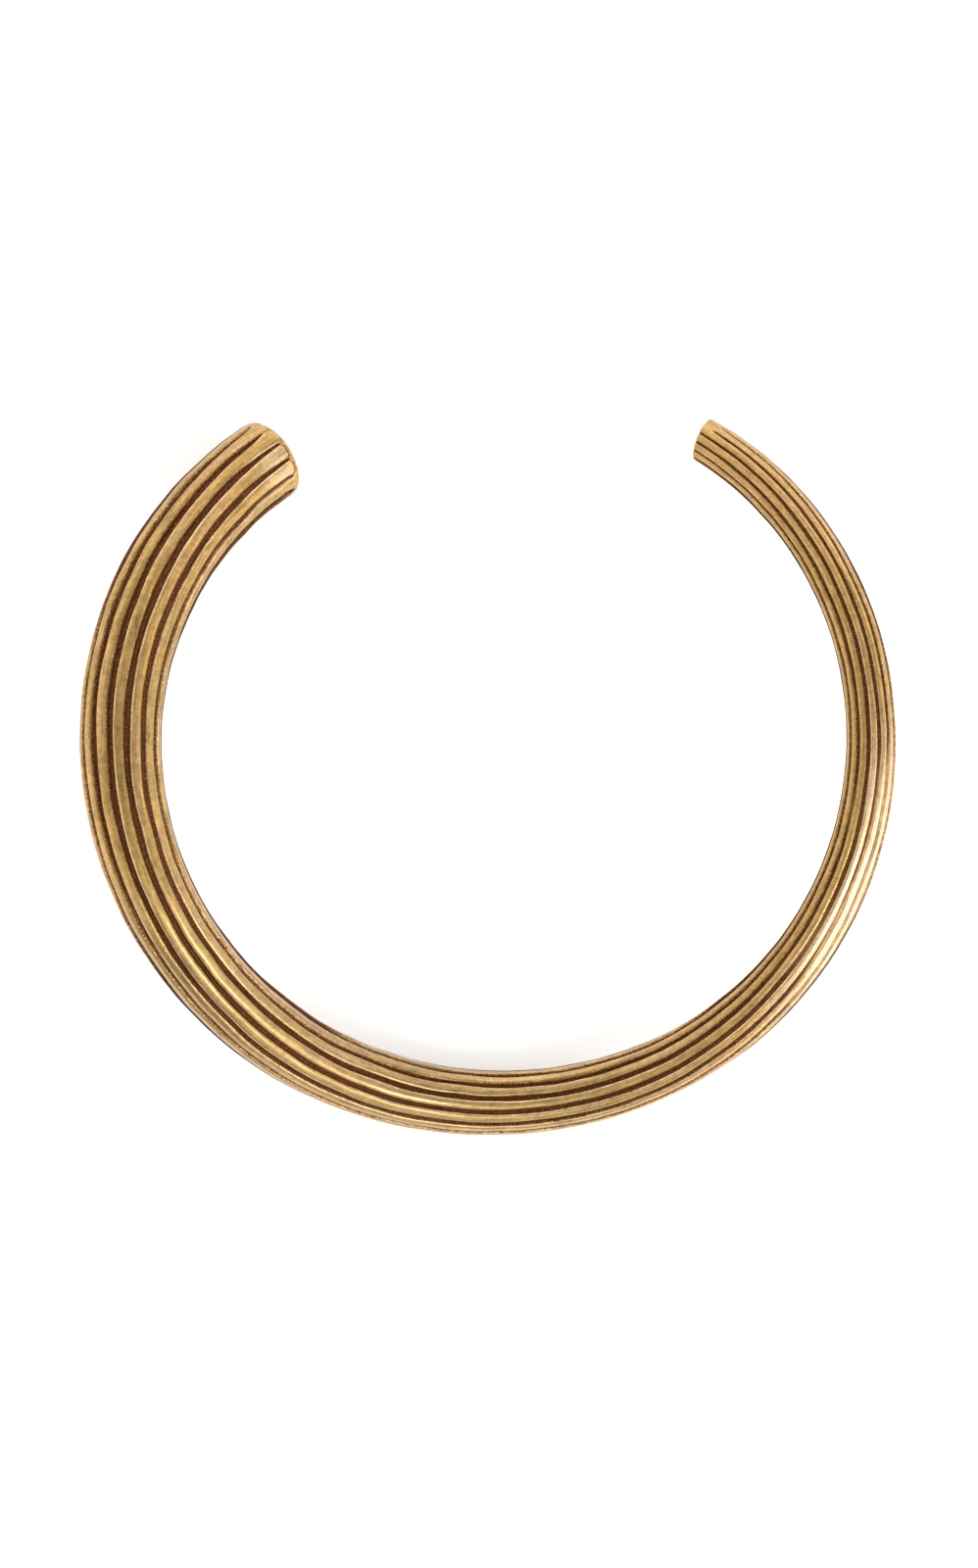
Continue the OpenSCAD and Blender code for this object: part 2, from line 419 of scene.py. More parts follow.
def make_tube(sizes):
    """The bar's skin, open at both ends, with its rings and columns in place and no grooves yet."""
    first, last = sizes.rim_round, sizes.bar_length - sizes.thin_round
    bpy.ops.object.select_all(action="DESELECT")
    bpy.ops.mesh.primitive_cylinder_add(vertices=2 * STEPS * sizes.ribs, radius=sizes.thick_end / 2,
                                        depth=last - first, end_fill_type="NOTHING",
                                        location=((first + last) / 2, 0, 0), rotation=(0, math.pi / 2, 0))
    bar = bpy.context.active_object
    bar.name = "ribbed_bar"
    bpy.ops.object.transform_apply(location=True, rotation=True, scale=True)
    set_columns(bar, sizes)
    bpy.ops.mesh.select_mode(type="EDGE")
    far_end = sizes.bar_length - STOP_END
    cut_ring(TIP_END)
    cut_ring(far_end)
    for cuts in FAR_CUTS:
        pick_edges(bar, lambda low, high: TIP_END - LENGTH_SLACK < low < high - LENGTH_SLACK < far_end)
        bpy.ops.mesh.subdivide(number_cuts=cuts - 1)
    for x in TIP_RINGS:
        cut_ring(x)
    for x in STOP_RINGS:
        cut_ring(sizes.bar_length - x)
    bpy.ops.object.mode_set(mode="OBJECT")
    return bar


def mesh_places(bar):
    """x, turn and distance from the axis of each vertex of the straight bar."""
    points = np.empty(3 * len(bar.data.vertices))
    bar.data.vertices.foreach_get("co", points)
    x, y, z = points.reshape(-1, 3).T
    return x, np.arctan2(-y, z), np.hypot(y, z)


def ripple(x, seed, length):
    """A slow wave along the bar between about -1 and 1, made of a few lengths of wave, for hand work."""
    draw = np.random.default_rng(seed)
    wave = np.zeros_like(x)
    for part in range(SINES):
        wave += np.sin(2 * math.pi * (x / (length * draw.uniform(*SINE_SPREAD)) + draw.random()))
    return wave / SINE_SUM


def ripples(x, groove, sizes, waves):
    """The waves of a list, summed for each point along the groove that the point is in."""
    total = np.zeros_like(x)
    for number in range(sizes.ribs):
        here = groove == number
        for strength, length, first_seed in waves:
            total[here] += strength * ripple(x[here], first_seed + number, length)
    return total


def fade(start, length, distance):
    """A share that goes from start, at no distance, to 1 at a length."""
    return start + (1 - start) * eased(0, length, distance)


def widened(x):
    """How much of their full width the grooves have at a distance from the thick end."""
    return np.clip(x / WIDE_FROM, 0, 1) ** WIDE_POWER


def groove_lie(x, turn, sizes):
    """For each point: its groove, its place across it, how far it sways round the bar, and how open it is.

    A place across is 0 in the middle of a groove and -1 or 1 at the crests beside it, + towards the next rib.
    """
    half_pitch = math.pi / sizes.ribs
    groove = np.floor(turn / (2 * half_pitch)).astype(int) % sizes.ribs
    side = (turn / half_pitch) % 2 - 1
    from_end = sizes.bar_length - x
    opened = np.ones_like(x)
    for number in range(sizes.ribs):
        here = groove == number
        start, taper = ODD_STARTS.get(number, GROOVE_START)
        opened[here] = eased(start, start + taper, x[here])
        if number in ODD_STOPS:
            stop, taper = ODD_STOPS[number]
            opened[here] *= eased(stop, stop + taper, from_end[here])
    width = 1 + ripples(x, groove, sizes, WIDTH_WAVES)
    begins, full, fades, ends = NARROW_PLACES
    width *= 1 - NARROWER * eased(begins, full, x) * (1 - eased(fades, ends, x))
    width *= LEAST_WIDTH + (1 - LEAST_WIDTH) * opened * widened(x)
    width *= fade(*THIN_END_WIDTH, from_end)
    sway = ripples(x, groove, sizes, SWAYS)
    shift = half_pitch * (1 - side ** 2) * (sway + side * (width - 1))
    return groove, side, shift, opened


def tip_line(x, turn, sizes):
    """1 on the scribed line round the tip of each outlined rib, and 0 away from it."""
    half_pitch = math.pi / sizes.ribs
    rib = np.round(turn / (2 * half_pitch))
    across = np.abs(turn / half_pitch - 2 * rib)
    tip = TIP_PLACE + TIP_LENGTH * (1 - np.sqrt(np.clip(1 - (across / TIP_HALF) ** 2, 0, 1)))
    line = np.exp(-((x - tip) / LINE_SPREAD) ** 2) * (across < TIP_HALF)
    return line * np.isin(rib.astype(int) % sizes.ribs, OUTLINED_TIPS)


def groove_cut(x, turn, sizes):
    """How deep the surface is cut, from 0 at a crest to about 1 at the bottom of a groove."""
    groove, side, _, opened = groove_lie(x, turn, sizes)
    drop = np.interp(1 - np.abs(side), *RIB_OUTLINE.T) / DEEPEST
    crown = np.minimum(drop, np.interp(RIB_EDGE, *RIB_OUTLINE.T) / DEEPEST)
    depth = 1 + ripples(x, groove, sizes, DEPTH_WAVES)
    depth *= eased(0, DEEP_WHEN_OPEN, opened) * fade(*THIN_END_DEPTH, sizes.bar_length - x)
    depth *= LEAST_DEPTH + (1 - LEAST_DEPTH) * widened(x)
    crowned = eased(sizes.rim_round, CROWN_FROM, x) * opened
    return crown * crowned + (drop - crown) * depth + LINE_DEPTH * tip_line(x, turn, sizes)


def weigh(bar, name, weights):
    """Stores a weight from 0 to 1 for each vertex as a vertex group."""
    group = bar.vertex_groups.new(name=name)
    for i, weight in enumerate(np.clip(weights, 0, 1)):
        group.add([i], float(weight), "REPLACE")


def displace(bar, strength, direction, mid_level=0.0, weights="", texture=None):
    """Adds a Displace modifier and applies it."""
    modifier = bar.modifiers.new("displace", "DISPLACE")
    modifier.strength = strength
    modifier.direction = direction
    modifier.mid_level = mid_level
    modifier.vertex_group = weights
    if texture:
        modifier.texture = texture
        modifier.texture_coords = "LOCAL"
    bpy.ops.object.modifier_apply(modifier=modifier.name)


def move_points(bar, axis, amounts):
    """Moves each point along an axis, X, Y or Z, by its own amount."""
    most = np.abs(amounts).max()
    weigh(bar, "move", 0.5 + amounts / (2 * most))
    displace(bar, 2 * most, axis, weights="move")
    bpy.ops.object.mode_set(mode="EDIT")
    bpy.ops.mesh.select_all(action="SELECT")
    bpy.ops.transform.translate(value=[-most * (axis == name) for name in "XYZ"])
    bpy.ops.object.mode_set(mode="OBJECT")
    bar.vertex_groups.remove(bar.vertex_groups["move"])


def cut_grooves(bar, sizes):
    """Lets the columns sway as a hand would cut them, and sinks the grooves."""
    x, turn, reach = mesh_places(bar)
    shift = groove_lie(x, turn, sizes)[2]
    weigh(bar, "grooves", groove_cut(x, turn, sizes))
    keep_coordinates(bar, sizes)
    move_points(bar, "Y", reach * (np.sin(turn) - np.sin(turn + shift)))
    move_points(bar, "Z", reach * (np.cos(turn + shift) - np.cos(turn)))
    displace(bar, -DEEPEST * sizes.thick_end / 2, "NORMAL", weights="grooves")


def close_end(bar, x, outward, rounding, inset):
    """Rounds the open rim at x over a length of rounding, and closes it with a slightly swollen face."""
    bpy.ops.object.mode_set(mode="EDIT")
    bpy.ops.mesh.select_mode(type="EDGE")
    pick_edges(bar, lambda low, high: max(abs(low - x), abs(high - x)) < RING_SLACK)
    bar_radius = bpy.context.scene.neck_ring_sizes.thick_end / 2
    radius = bar_radius
    out = 0
    for step in range(1, RIM_STEPS + 1):
        angle = math.pi / 2 * step / RIM_STEPS
        next_out = rounding * math.sin(angle)
        next_radius = bar_radius - inset * (1 - math.cos(angle))
        grow_loop(x + outward * out, outward * (next_out - out), next_radius / radius)
        out, radius = next_out, next_radius
    for share, swell in FACE_LOOPS:
        grow_loop(x + outward * out, outward * swell, share)
        out += swell
    bpy.ops.mesh.extrude_region_move()
    bpy.ops.mesh.merge(type="CENTER")
    bpy.ops.object.mode_set(mode="OBJECT")


def grow_loop(x, move, scale):
    """Extrudes the selected loop at x along the bar and scales it about the bar's middle."""
    bpy.ops.mesh.extrude_region_move(TRANSFORM_OT_translate={"value": (move, 0, 0)})
    bpy.ops.transform.resize(value=(1, scale, scale), center_override=(x + move, 0, 0))


def noise_texture(name, size):
    texture = bpy.data.textures.new(name, "CLOUDS")
    texture.cloud_type = "COLOR"
    texture.noise_scale = size
    texture.noise_depth = 1
    return texture


def slant_end(bar, sizes):
    """Moves the thin end's rim and face along the bar, so that the end is cut on a slant."""
    x, turn, reach = mesh_places(bar)
    angle = turn + walk(sizes)[-1][1]
    reach = reach * sizes.thin_end / sizes.thick_end
    lag = reach * (math.tan(sizes.thin_turn) * np.sin(angle) - math.tan(sizes.thin_cut) * np.cos(angle))
    lag = lag * np.clip(1 - (sizes.bar_length - sizes.thin_round - x) / SLANT_LENGTH, 0, 1)
    move_points(bar, "X", lag)


def way_round(x, turn, sizes):
    """Each point's turn from the top of the bent bar outwards, and how far its inner side faces the way that
    the painted light comes from.
    """
    stops = walk(sizes)
    marks = np.linspace(0, sizes.bar_length, len(stops))
    outward = turn + np.interp(x, marks, [roll for place, roll, scale in stops])
    heading = np.gradient(np.array([place.xy for place, roll, scale in stops]), axis=0)
    heading /= np.hypot(*heading.T)[:, None]
    facing = np.interp(x, marks, heading[:, 1] * LIT_WAY[0] - heading[:, 0] * LIT_WAY[1])
    return outward, facing


def stretch_along(share, middle, half, fades):
    """1 in the middle of a stretch of the bar and 0 past its ends."""
    return 1 - eased(fades, 1, np.abs(share - middle) / half)


def rubbed_lit_floors(x, side, groove):
    """How much the floors of the grooves near the thick end are rubbed free of patina and painted bright as a
    highlight.
    """
    bare_and_lit = np.zeros_like(x)
    for number, (place, reach_along) in RUBBED_AND_LIT.items():
        rubbed_lit_band = np.exp(-((side - place) / RUBBED_LIT_WIDTH) ** 2)
        bare_and_lit += rubbed_lit_band * (1 - eased(0.5 * reach_along, reach_along, x)) * (groove == number)
    return bare_and_lit * eased(*BRIGHT_FROM, x)


def keep_coordinates(bar, sizes):
    """Stores what the finish reads: the place across the ribs, their patina, how the metal is worn, and where
    light and shade are painted on it.
    """
    x, turn, _ = mesh_places(bar)
    groove, side, _, opened = groove_lie(x, turn, sizes)
    outward, facing = way_round(x, turn, sizes)
    share = x / sizes.bar_length
    across = 1 - np.abs(side)
    rib = np.round(turn * sizes.ribs / (2 * math.pi)).astype(int) % sizes.ribs

    bare_and_lit = rubbed_lit_floors(x, side, groove)
    stretch = stretch_along(share, *POLISHED_LIT_STRETCH)
    full, ends = (math.cos(math.radians(angle)) for angle in POLISHED_LIT_REACH)
    polish_and_highlight = stretch * eased(ends, full, np.cos(outward - math.radians(POLISHED_LIT_SIDE)))
    # Painted highlight in the pale tone near the tips of some ribs
    tip = np.isin(rib, BRIGHT_TIPS) * np.exp(-((x - BRIGHT_PLACE) / BRIGHT_SPREAD) ** 2)
    tip = TIP_HIGHLIGHT * tip * (1 - eased(*BRIGHT_ACROSS, across)) * eased(*BRIGHT_FROM, x)

    patina = 1 + ripples(x, groove, sizes, PATINA_WAVES)
    worn_off = POLISHED_OFF * polish_and_highlight * (1 - eased(*HELD_FLOOR, across))
    patina -= RUBBED_OFF * bare_and_lit + worn_off + STRETCH_OFF * stretch
    patina *= eased(0, FULL_WHEN_OPEN, opened)

    from_top = np.degrees(np.arccos(np.clip(np.cos(outward), -1, 1)))
    dull = eased(*DULL_SIDES, from_top) * (1 - LESS_BELOW * eased(*DULL_BELOW, from_top))
    values = {
        "across": across,
        "patina": patina,
        # Polished metal, and the highlights painted on the stretch, the rubbed floors and the tips
        "polish_and_highlight": np.maximum(np.maximum(polish_and_highlight, bare_and_lit), tip),
        # How far an edge faces the painted light: facing it, it gets a painted highlight; facing away,
        # painted shade
        "worn": -np.sign(side) * np.cos(outward) * facing,
        "front": stretch_along(share, *FRONT),
        "tone": np.interp(share, *TONE_ALONG.T),
        "dull": dull * eased(*DULL_FROM, x),
        "outlined": np.isin(rib, OUTLINED_TIPS) * 1.0,
    }
    for name, value in values.items():
        bar.data.attributes.new(name, "FLOAT", "POINT").data.foreach_set("value", value)


def keep_straight(bar, sizes):
    """Stores each point's place on the straight bar, and wipes the patina off the end faces."""
    x = mesh_places(bar)[0]
    points = np.empty(3 * len(x))
    bar.data.vertices.foreach_get("co", points)
    bar.data.attributes.new("straight", "FLOAT_VECTOR", "POINT").data.foreach_set("vector", points)
    patina = np.empty(len(x))
    bar.data.attributes["patina"].data.foreach_get("value", patina)
    patina *= eased(*CLEAN_FACE, sizes.bar_length - x)
    bar.data.attributes["patina"].data.foreach_set("value", patina)


# The finish's map: the skin of the bar in this many strips, with a disc beside them for each end
MAP_STRIPS = 3
MAP_GAP = 2 * MM


def lay_out_map(bar, sizes):
    """Unrolls the straight bar into a map for its finish."""
    x, turn, reach = mesh_places(bar)
    mesh = bar.data
    loops = np.empty(len(mesh.loops), int)
    mesh.loops.foreach_get("vertex_index", loops)
    totals = np.empty(len(mesh.polygons), int)
    mesh.polygons.foreach_get("loop_total", totals)
    face = np.repeat(np.arange(len(totals)), totals)

    def of_face(values):
        return (np.bincount(face, values[loops]) / totals)[face]

    around = 2 * math.pi
    middle = np.arctan2(of_face(np.sin(turn)), of_face(np.cos(turn)))
    unrolled = middle + (turn[loops] - middle + math.pi) % around - math.pi
    strip_length = sizes.bar_length / MAP_STRIPS
    strip_height = math.pi * sizes.thick_end + MAP_GAP
    strip = np.clip(of_face(x) // strip_length, 0, MAP_STRIPS - 1)
    across = x[loops] - strip * strip_length
    up = strip * strip_height + (unrolled + math.pi) * sizes.thick_end / 2

    far = sizes.bar_length / 2
    depth = np.minimum(x, sizes.bar_length - x)[loops]
    on_end = of_face(np.minimum(x, sizes.bar_length - x)) < np.where(of_face(x) < far, sizes.rim_round,
                                                                   sizes.thin_round)
    radius = reach[loops] + np.maximum(depth, 0)
    room = sizes.thick_end / 2 + sizes.rim_round + MAP_GAP
    centre = np.where(of_face(x) < far, 1, 3) * room
    across = np.where(on_end, strip_length + room + radius * np.cos(turn[loops]), across)
    up = np.where(on_end, centre + radius * np.sin(turn[loops]), up)
    scale = 1 / (strip_length + 2 * room + 2 * MAP_GAP)
    places = scale * (np.column_stack((across, up)) + MAP_GAP)
    mesh.uv_layers.new(name="OFBake").data.foreach_set("uv", places.ravel())


class NECKRING_OT_collar(bpy.types.Operator):
    """Models the ribbed bar, bends it to the ring and gives it its aged brass"""

    bl_idname = "neck_ring.collar"
    bl_label = "Collar"
    bl_options = {"REGISTER", "UNDO"}

    def execute(self, context):
        sizes = context.scene.neck_ring_sizes
        bar = make_tube(sizes)
        cut_grooves(bar, sizes)
        taper = sizes.thick_end / sizes.thin_end
        close_end(bar, sizes.rim_round, -1, sizes.rim_round, sizes.rim_round)
        close_end(bar, sizes.bar_length - sizes.thin_round, 1, sizes.thin_round, sizes.thin_round * taper)
        wander = noise_texture("wander", WANDER_SIZE)
        displace(bar, sizes.wander, "RGB_TO_XYZ", 0.5, texture=wander)
        waver = noise_texture("waver", WAVER_SIZE)
        displace(bar, sizes.wander / WAVER_WEAKER, "RGB_TO_XYZ", 0.5, texture=waver)
        keep_straight(bar, sizes)
        lay_out_map(bar, sizes)
        slant_end(bar, sizes)
        bar.vertex_groups.clear()

        path = make_path(sizes)
        bend = bar.modifiers.new("bend", "CURVE")
        bend.object = path
        bend.deform_axis = "POS_X"
        bpy.ops.object.modifier_apply(modifier=bend.name)
        bpy.data.objects.remove(path)
        bar.rotation_euler = (sizes.lean_x, sizes.lean_y, 0)
        bar.location = sizes.start_place
        bpy.ops.object.transform_apply(location=True, rotation=True, scale=True)
        bpy.ops.object.shade_smooth_by_angle(angle=math.radians(SHARP_ANGLE))
        check_box(bar)
        bar.data.materials.clear()
        bar.data.materials.append(aged_brass(context.scene.neck_ring_finish))
        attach(bar, BODY)
        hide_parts(NODE)
        return {"FINISHED"}


def check_box(bar):
    """Raises an error if the piece doesn't lie where the frame's own node lies."""
    low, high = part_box(NODE)
    corners = [bar.matrix_world @ Vector(corner) for corner in bar.bound_box]
    for axis in range(3):
        values = [corner[axis] for corner in corners]
        miss = max(abs(min(values) - low[axis]), abs(max(values) - high[axis]))
        if miss > BOX_TOLERANCE:
            raise RuntimeError(f"the bar misses its place by {miss / MM:.2f} mm along axis {axis}")


# Nodes

def add_node(tree, kind, inputs=(), **settings):
    """Adds a node, sets it up, and sets or links its inputs."""
    node = tree.nodes.new(kind)
    for name, value in settings.items():
        setattr(node, name, value)
    for key, value in dict(inputs).items():
        if isinstance(value, bpy.types.NodeSocket):
            tree.links.new(value, node.inputs[key])
        else:
            node.inputs[key].default_value = value
    return node


def stored(tree, name, output):
    return add_node(tree, "ShaderNodeAttribute", attribute_name=name).outputs[output]


def noise(tree, place, size, detail=2.0, roughness=0.5):
    """Noise whose grains are about size across, in metres."""
    inputs = {"Vector": place, "Scale": 1 / size, "Detail": detail, "Roughness": roughness}
    return add_node(tree, "ShaderNodeTexNoise", inputs).outputs["Fac"]


def stretched(tree, place, along_bar, across_bar):
    """Straight bar's coordinates divided by a grain's length along the bar and its width across it."""
    scale = (1 / along_bar, 1 / across_bar, 1 / across_bar)
    return add_node(tree, "ShaderNodeVectorMath", {0: place, 1: scale}, operation="MULTIPLY").outputs[0]


def calc(tree, operation, a, b, c=0.0):
    return add_node(tree, "ShaderNodeMath", {0: a, 1: b, 2: c}, operation=operation).outputs[0]


def product(tree, value, *factors):
    """Multiplies a value by each of the factors."""
    for factor in factors:
        value = calc(tree, "MULTIPLY", value, factor)
    return value


def rise(tree, value, low, high, start=0.0, end=1.0):
    """Eases from start to end as the value goes from low to high."""
    inputs = {"Value": value, "From Min": low, "From Max": high, "To Min": start, "To Max": end}
    return add_node(tree, "ShaderNodeMapRange", inputs, interpolation_type="SMOOTHSTEP").outputs["Result"]


def mix(tree, share, a, b):
    """Mixes two colours."""
    node = add_node(tree, "ShaderNodeMix", data_type="RGBA")
    for key, value in ((0, share), (6, a), (7, b)):
        if isinstance(value, bpy.types.NodeSocket):
            tree.links.new(value, node.inputs[key])
        else:
            node.inputs[key].default_value = (*value, 1) if key > 0 else value
    return node.outputs[2]


# The finish. The mark "across" is 0 at the crest of a rib and 1 in the middle of a groove.

# Numbers that the bar's mesh stores for each point
MARKS = ("across", "patina", "polish_and_highlight", "worn", "front", "tone", "dull", "outlined")
# Grains as long as they are wide: size, detail and roughness
ROUND_GRAINS = {
    "mottle": (1.1 * MM, 3, 0.6),
    "grain": (0.28 * MM, 3, 0.7),
    "fray": (0.15 * MM, 2, 0.6),
    "grit": (0.40 * MM, 2, 0.6),
    "glint": (0.22 * MM, 1, 0.5),
}
# Grains that follow the bar: length along it, width across it, detail and roughness
LONG_GRAINS = {
    "drift": (34 * MM, 3.2 * MM, 2, 0.5),
    "streak": (5 * MM, 0.45 * MM, 3, 0.5),
    "blotch": (3.2 * MM, 1.1 * MM, 3, 0.65),
    "brushed": (6 * MM, 0.34 * MM, 3, 0.6),
    "patch": (8 * MM, 1.6 * MM, 2, 0.5),
    "hatch": (0.28 * MM, 4 * MM, 2, 0.5),
}
# Along the bar, where the metal turns rosier towards the thin end, and by how much
ROSY_END, ROSIER = (290 * MM, 345 * MM), 0.11
# Near both ends the patina starts lower down the walls: by how much, and up to where or from where on
THICK_LOWER, THICK_LOWER_TO = -0.06, 12 * MM
THIN_LOWER, THIN_LOWER_OVER = -0.05, (310 * MM, 350 * MM)
# How much of the film and of the dark patina the scribed lines hold
LINE_FILM, LINE_DARK = 0.8, 0.35
# How much the roughness of the metal varies, and how metallic the dark patina still is
ROUGHNESS_SPREAD, DARK_METALLIC = 0.14, 0.9
WAX_IOR = 1.7
# Height and strength of the fine relief
RELIEF_HEIGHT, RELIEF_STRENGTH = 0.02 * MM, 0.6


def read_marks(tree):
    """What the bar's mesh stores for its finish, with x, the distance from the thick end."""
    straight = stored(tree, "straight", "Vector")
    x = add_node(tree, "ShaderNodeSeparateXYZ", {0: straight}).outputs["X"]
    return SimpleNamespace(straight=straight, x=x, **{name: stored(tree, name, "Fac") for name in MARKS})


def make_grains(tree, straight):
    """The noises of the finish, by name."""
    place = add_node(tree, "ShaderNodeTexCoord").outputs["Object"]
    grains = {name: noise(tree, place, *settings) for name, settings in ROUND_GRAINS.items()}
    for name, (along_bar, across_bar, detail, roughness) in LONG_GRAINS.items():
        grains[name] = noise(tree, stretched(tree, straight, along_bar, across_bar), 1.0, detail, roughness)
    return SimpleNamespace(**grains)


def scribed_line(tree, mark):
    """1 on the line round the tips of the outlined ribs, and 0 away from it."""
    share = calc(tree, "DIVIDE", mark.across, TIP_HALF)
    left = calc(tree, "SUBTRACT", 1.0, calc(tree, "POWER", share, 2.0))
    bow = calc(tree, "SQRT", calc(tree, "MAXIMUM", left, 0.0), 0.0)
    tip = calc(tree, "MULTIPLY_ADD", bow, -TIP_LENGTH, TIP_PLACE + TIP_LENGTH)
    off_line = calc(tree, "ABSOLUTE", calc(tree, "SUBTRACT", mark.x, tip), 0.0)
    line = rise(tree, off_line, *LINE_COLOUR, 1.0, 0.0)
    on_tip = rise(tree, mark.across, TIP_HALF - LINE_SIDE, TIP_HALF + LINE_SIDE, 1.0, 0.0)
    return product(tree, line, on_tip, mark.outlined)


def metal_colour(tree, finish, mark, grain):
    """Gold with greener and rosier patches and brown smudges, and pale where it is worn, with highlights
    painted in that pale tone and along the edges that face the light.
    """
    drift = calc(tree, "ADD", grain.drift, rise(tree, mark.x, *ROSY_END, 0.0, ROSIER))
    tone = mix(tree, rise(tree, drift, 0.36, 0.56), finish.olive, finish.gold)
    tone = mix(tree, rise(tree, drift, 0.50, 0.70), tone, finish.peach)

    by_edges = rise(tree, mark.across, 0.05, 0.50, 0.35, 0.85)
    smudge = product(tree, rise(tree, grain.streak, 0.48, 0.70), by_edges)
    smudge = calc(tree, "MAXIMUM", smudge, rise(tree, grain.blotch, 0.54, 0.72, 0.0, 0.8))
    smudge = product(tree, smudge, rise(tree, drift, 0.40, 0.60, 1.0, 0.55))
    tone = mix(tree, smudge, tone, finish.smudge)

    # Pale tone where the metal is polished, painted on as highlights along the polished stretch, the rubbed
    # floors and some tips
    polished_and_lit = product(tree, mark.polish_and_highlight, rise(tree, grain.streak, 0.35, 0.60, 0.9, 0.5))
    tone = mix(tree, polished_and_lit, tone, finish.polish_and_highlight)

    # Pale tone along the edges: wear, and a painted highlight on the edges that face the light
    near_edge = rise(tree, mark.across, 0.40, 0.49)
    past_edge = rise(tree, mark.across, 0.60, 0.68, 1.0, 0.0)
    facing_light = rise(tree, mark.worn, -0.4, 0.7, 0.0, 0.95)
    streaked = rise(tree, grain.streak, 0.38, 0.66, 1.0, 0.45)
    beside_groove = rise(tree, mark.patina, 0.05, 0.35)
    edge = product(tree, near_edge, past_edge, facing_light, streaked, beside_groove)
    tone = mix(tree, edge, tone, finish.edge_wear_and_highlight)

    mottled = rise(tree, grain.mottle, 0.30, 0.70, 0.84, 1.16)
    grained = rise(tree, grain.grain, 0.32, 0.68, 0.84, 1.16)
    brushed = rise(tree, grain.brushed, 0.32, 0.68, 0.80, 1.20)
    shade = product(tree, mottled, grained, brushed, mark.tone)
    return add_node(tree, "ShaderNodeVectorMath", {0: tone, "Scale": shade}, operation="SCALE").outputs[0]


def patina_cover(tree, mark, grain):
    """How much thin film and how much dark patina lie on the metal. Both grow down the walls of a groove."""
    thick_end = rise(tree, mark.x, 0.0, THICK_LOWER_TO, THICK_LOWER, 0.0)
    thin_end = rise(tree, mark.x, *THIN_LOWER_OVER, 0.0, THIN_LOWER)
    level = mark.across
    # Painted shade: the film reaches higher up the edges that face away from the light
    for part, weight in ((grain.fray, 0.45), (grain.grit, 0.55), (grain.patch, 0.20), (mark.worn, -0.08),
                         (thick_end, 1.0), (thin_end, 1.0), (mark.dull, 0.55)):
        level = calc(tree, "MULTIPLY_ADD", part, weight, level)
    fleck = calc(tree, "MULTIPLY_ADD", grain.fray, 0.8, mark.patina)
    film = product(tree, rise(tree, level, 1.13, 1.27), rise(tree, mark.patina, 0.15, 0.6))
    dark = product(tree, rise(tree, level, 1.24, 1.40), rise(tree, fleck, 0.75, 1.15))
    line = scribed_line(tree, mark)
    film = calc(tree, "MAXIMUM", film, product(tree, line, LINE_FILM))
    dark = calc(tree, "MAXIMUM", dark, product(tree, line, LINE_DARK))
    return film, dark


def patina_colour(tree, finish, mark, grain):
    """Near black in the corners of a groove, patina painted darker as the shade there, brown on its floor,
    and speckled lighter, partly as painted glints. Darker along the front.
    """
    off_front = rise(tree, mark.front, 0.0, 1.0, 1.0, 0.0)
    floor = product(tree, rise(tree, mark.across, 0.80, 0.94), rise(tree, grain.patch, 0.40, 0.60), off_front)
    patina = mix(tree, floor, finish.corner, finish.ground)
    fewer = rise(tree, mark.front, 0.0, 1.0, 1.0, 0.5)
    # Lighter specks of the patina, partly painted glints
    speck = product(tree, rise(tree, grain.glint, 0.52, 0.70, 0.0, 0.6), fewer)
    return mix(tree, speck, patina, finish.speck)


def fine_relief(tree, grain, dark):
    """Fine grain, hatching across the ribs, and grit in the patina."""
    height = calc(tree, "MULTIPLY_ADD", grain.hatch, 0.5, product(tree, grain.grain, 0.6))
    height = calc(tree, "ADD", height, product(tree, grain.glint, dark, 1.2))
    settings = {"Height": height, "Distance": RELIEF_HEIGHT, "Strength": RELIEF_STRENGTH}
    return add_node(tree, "ShaderNodeBump", settings).outputs[0]


def aged_brass(finish):
    """Worn satin brass on the ribs, and dark speckled patina that fades up the walls of the grooves."""
    material = bpy.data.materials.new("aged_brass")
    material.use_nodes = True
    tree = material.node_tree
    shader = tree.nodes["Principled BSDF"]
    mark = read_marks(tree)
    grain = make_grains(tree, mark.straight)
    film, dark = patina_cover(tree, mark, grain)
    colour = mix(tree, film, metal_colour(tree, finish, mark, grain), finish.film)
    colour = mix(tree, dark, colour, patina_colour(tree, finish, mark, grain))
    least_rough = finish.metal_roughness - ROUGHNESS_SPREAD / 2
    gloss = calc(tree, "MULTIPLY_ADD", grain.mottle, ROUGHNESS_SPREAD, least_rough)
    rough = rise(tree, film, 0.0, 1.0, 0.0, finish.patina_roughness - finish.metal_roughness)
    # A thin coat of wax gives the brightest places their pale gloss
    waxed = rise(tree, mark.front, 0.0, 1.0, finish.wax, finish.front_wax)
    sockets = {
        "Base Color": colour,
        "Metallic": rise(tree, dark, 0.0, 1.0, 1.0, DARK_METALLIC),
        "Roughness": calc(tree, "ADD", gloss, rough),
        "Coat Weight": product(tree, waxed, rise(tree, film, 0.0, 0.7, 1.0, 0.0)),
        "Normal": fine_relief(tree, grain, dark),
    }
    for name, value in sockets.items():
        tree.links.new(value, shader.inputs[name])
    shader.inputs["Coat Roughness"].default_value = finish.wax_roughness
    shader.inputs["Coat IOR"].default_value = WAX_IOR
    return material


# Stage

# Size in metres of the faint clouds in the floor's paper, and their shade
CLOUD_SIZE, CLOUD_SHADE = 0.4, 0.985
PAPER_ROUGHNESS, PAPER_SHINE = 0.95, 0.1
# The soft box: its direction in degrees, and its distance and size in metres
KEY_DIRECTION = (-55, 50)
KEY_DISTANCE, KEY_SIZE = 0.52, 0.15
